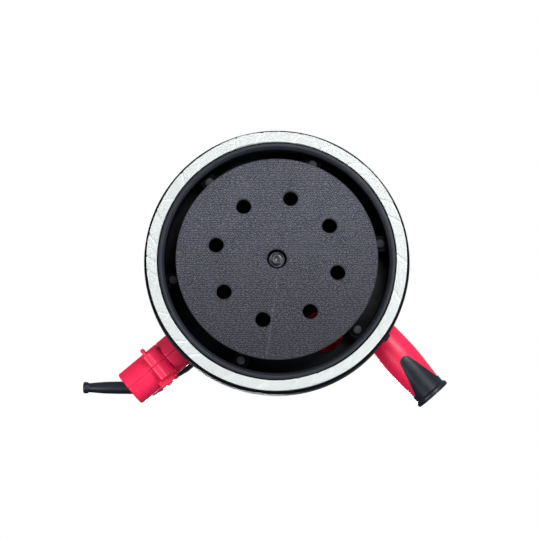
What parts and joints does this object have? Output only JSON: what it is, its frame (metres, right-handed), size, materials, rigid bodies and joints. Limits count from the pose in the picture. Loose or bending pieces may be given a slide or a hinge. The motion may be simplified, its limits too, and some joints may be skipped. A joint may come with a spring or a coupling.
{
  "type": "orbital wall sander",
  "caption": "Two-handled orbital wall sander: round hook-faced pad on an eccentric drive, sprung brush ring, dust duct with hose outlet and motor housing with handle.",
  "frame": {"origin": "on the motor axis, at the pad's hook face", "axes": "+Z from the pad up the motor axis; the dust outlet and main handle point to +X -Y, the auxiliary handle to -X -Y"},
  "size_m": [0.4084, 0.2939, 0.178],
  "materials": {
    "red_shell": "satin red glass-filled nylon",
    "black_shell": "fine-grained black nylon",
    "soft_black": "matte black elastomer",
    "inner_plastic": "plain moulded",
    "pad_foam": "closed-cell foam",
    "hook_fabric": "woven hook-and-loop sheet",
    "bristle": "dense white nylon bristles",
    "cast_metal": "die cast",
    "lamination": "stacked sheet steel",
    "copper": "varnished copper",
    "brass": "plain",
    "carbon": "pressed graphite",
    "circuit_board": "solder mask",
    "steel": "zinc plated"
  },
  "bodies": {
    "housing": {"bearing_bracket": "cast_metal", "lower_bearing_outer": "steel", "upper_bearing_outer": "steel", "stator_core": "lamination", "field_coils": "copper", "brush_holders": "brass", "carbon_brushes": "carbon", "brush_caps": "black_shell", "hood": "black_shell", "pad_brake_ring": "soft_black", "ring_screws": "steel", "ring_springs": "steel", "duct_left_shell": "red_shell", "duct_right_shell": "red_shell", "duct_screws": "steel", "adapter_left_shell": "red_shell", "adapter_right_shell": "red_shell", "hose_socket": "soft_black", "adapter_screw": "steel", "housing_left": "red_shell", "housing_right": "red_shell", "housing_screws": "steel", "main_screws": "steel", "top_cap": "black_shell", "cap_screws": "steel", "handle_grip": "soft_black", "trigger_pin": "steel", "trigger_spring": "steel", "dial_axle": "steel", "trigger_switch": "inner_plastic", "control_board": "circuit_board", "cable_boot": "soft_black", "handle_bracket": "black_shell", "bracket_screw": "steel", "aux_stud": "steel", "aux_handle_body": "red_shell", "aux_grip": "soft_black"},
    "rotor": {"rotor_shaft": "steel", "eccentric_hub": "cast_metal", "counterweight": "cast_metal", "pad_bearing_outer": "steel", "lower_bearing_inner": "steel", "upper_bearing_inner": "steel", "cooling_fan": "inner_plastic", "armature_core": "lamination", "armature_windings": "copper", "commutator": "copper"},
    "pad": {"hook_sheet": "hook_fabric", "foam_pad": "pad_foam", "backing_plate": "black_shell", "pad_washer": "steel", "pad_bolt": "steel", "pad_spindle": "steel", "pad_bearing_inner": "steel"},
    "brush_ring": {"brush_ring_carrier": "black_shell", "bristles": "bristle"},
    "trigger": {"trigger": "black_shell"},
    "lock_button": {"lock_button": "black_shell"},
    "speed_dial": {"speed_dial": "black_shell"}
  },
  "joints": [
    {"name": "spindle_spin", "type": "hinge", "parent": "housing", "child": "rotor", "pos_m": [0, 0, 0.1], "axis": [0, 0, 1], "continuous": true},
    {"name": "pad_spin", "type": "hinge", "parent": "rotor", "child": "pad", "pos_m": [0, 0.0015, 0.032], "axis": [0, 0, 1], "continuous": true},
    {"name": "brush_ring_float", "type": "slide", "parent": "housing", "child": "brush_ring", "axis": [0, 0, 1], "range_m": [0, 0.004], "stiffness_N_per_m": 1500, "springref_m": -0.008, "deforming": ["ring_springs"]},
    {"name": "trigger_pull", "type": "hinge", "parent": "housing", "child": "trigger", "pos_m": [0.05209, -0.04371, 0.125], "axis": [-0.6428, -0.766, 0], "range_deg": [0, 8], "stiffness_Nm_per_rad": 0.6, "springref_deg": -8.59, "deforming": ["trigger_spring"]},
    {"name": "lock_button_press", "type": "slide", "parent": "housing", "child": "lock_button", "axis": [0.6428, 0.766, 0], "range_m": [0, 0.0024], "stiffness_N_per_m": 400, "springref_m": -0.002},
    {"name": "speed_dial_turn", "type": "hinge", "parent": "housing", "child": "speed_dial", "pos_m": [0.0475, -0.03985, 0.147], "axis": [0.6428, 0.766, 0], "range_deg": [0, 270]}
  ]
}
